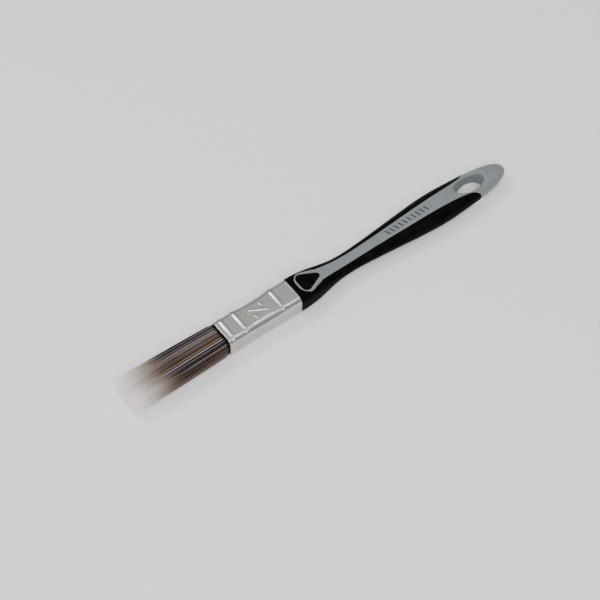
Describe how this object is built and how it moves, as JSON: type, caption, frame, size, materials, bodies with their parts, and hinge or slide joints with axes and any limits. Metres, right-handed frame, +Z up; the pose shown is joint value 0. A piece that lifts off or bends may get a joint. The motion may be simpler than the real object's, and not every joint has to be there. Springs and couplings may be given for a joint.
{
  "type": "flat paint brush",
  "caption": "Flat half-inch paint brush: tapered synthetic filaments that flex, ribbed metal ferrule, and a soft-grip plastic handle with a thumb pad and hanging hole.",
  "frame": {"origin": "middle of the length and width, on the surface the brush lies on with a broad side down", "axes": "+X from the filament tips to the hanging end, +Y across the width, +Z up through the thickness"},
  "size_m": [0.2035, 0.0164, 0.0109],
  "materials": {
    "nickel": "nickel plate, satin with fine wear",
    "grey_plastic": "moulded polypropylene, satin",
    "soft_black": "moulded-on soft rubber, low sheen",
    "resin": "set epoxy",
    "plug": "pale wood strip",
    "filament": "mixed brown, amber and grey tapered filaments with clear tips"
  },
  "bodies": {
    "handle": {"ferrule": "nickel", "handle_core": "grey_plastic", "soft_grip": "soft_black", "thumb_pad_front": "soft_black", "thumb_pad_back": "soft_black", "resin_block": "resin", "spacer_plug": "plug", "tuft_root": "filament"},
    "bristles_base": {"tuft_base": "filament"},
    "bristles_middle": {"tuft_middle": "filament"},
    "bristles_tip": {"tuft_tip": "filament"}
  },
  "joints": [
    {"name": "base_flex", "type": "hinge", "parent": "handle", "child": "bristles_base", "pos_m": [-0.06175, 0, 0.00545], "axis": [0, 1, 0], "range_deg": [-18, 18], "stiffness_Nm_per_rad": 0.05},
    {"name": "sway", "type": "hinge", "parent": "bristles_base", "child": "bristles_middle", "pos_m": [-0.07575, 0, 0.00545], "axis": [0, 0, 1], "range_deg": [-12, 12], "stiffness_Nm_per_rad": 0.08},
    {"name": "tip_flex", "type": "hinge", "parent": "bristles_middle", "child": "bristles_tip", "pos_m": [-0.08975, 0, 0.00545], "axis": [0, 1, 0], "range_deg": [-20, 20]}
  ],
  "couplings": [
    {"joint": "tip_flex", "follows": "base_flex", "ratio": 1.1}
  ]
}
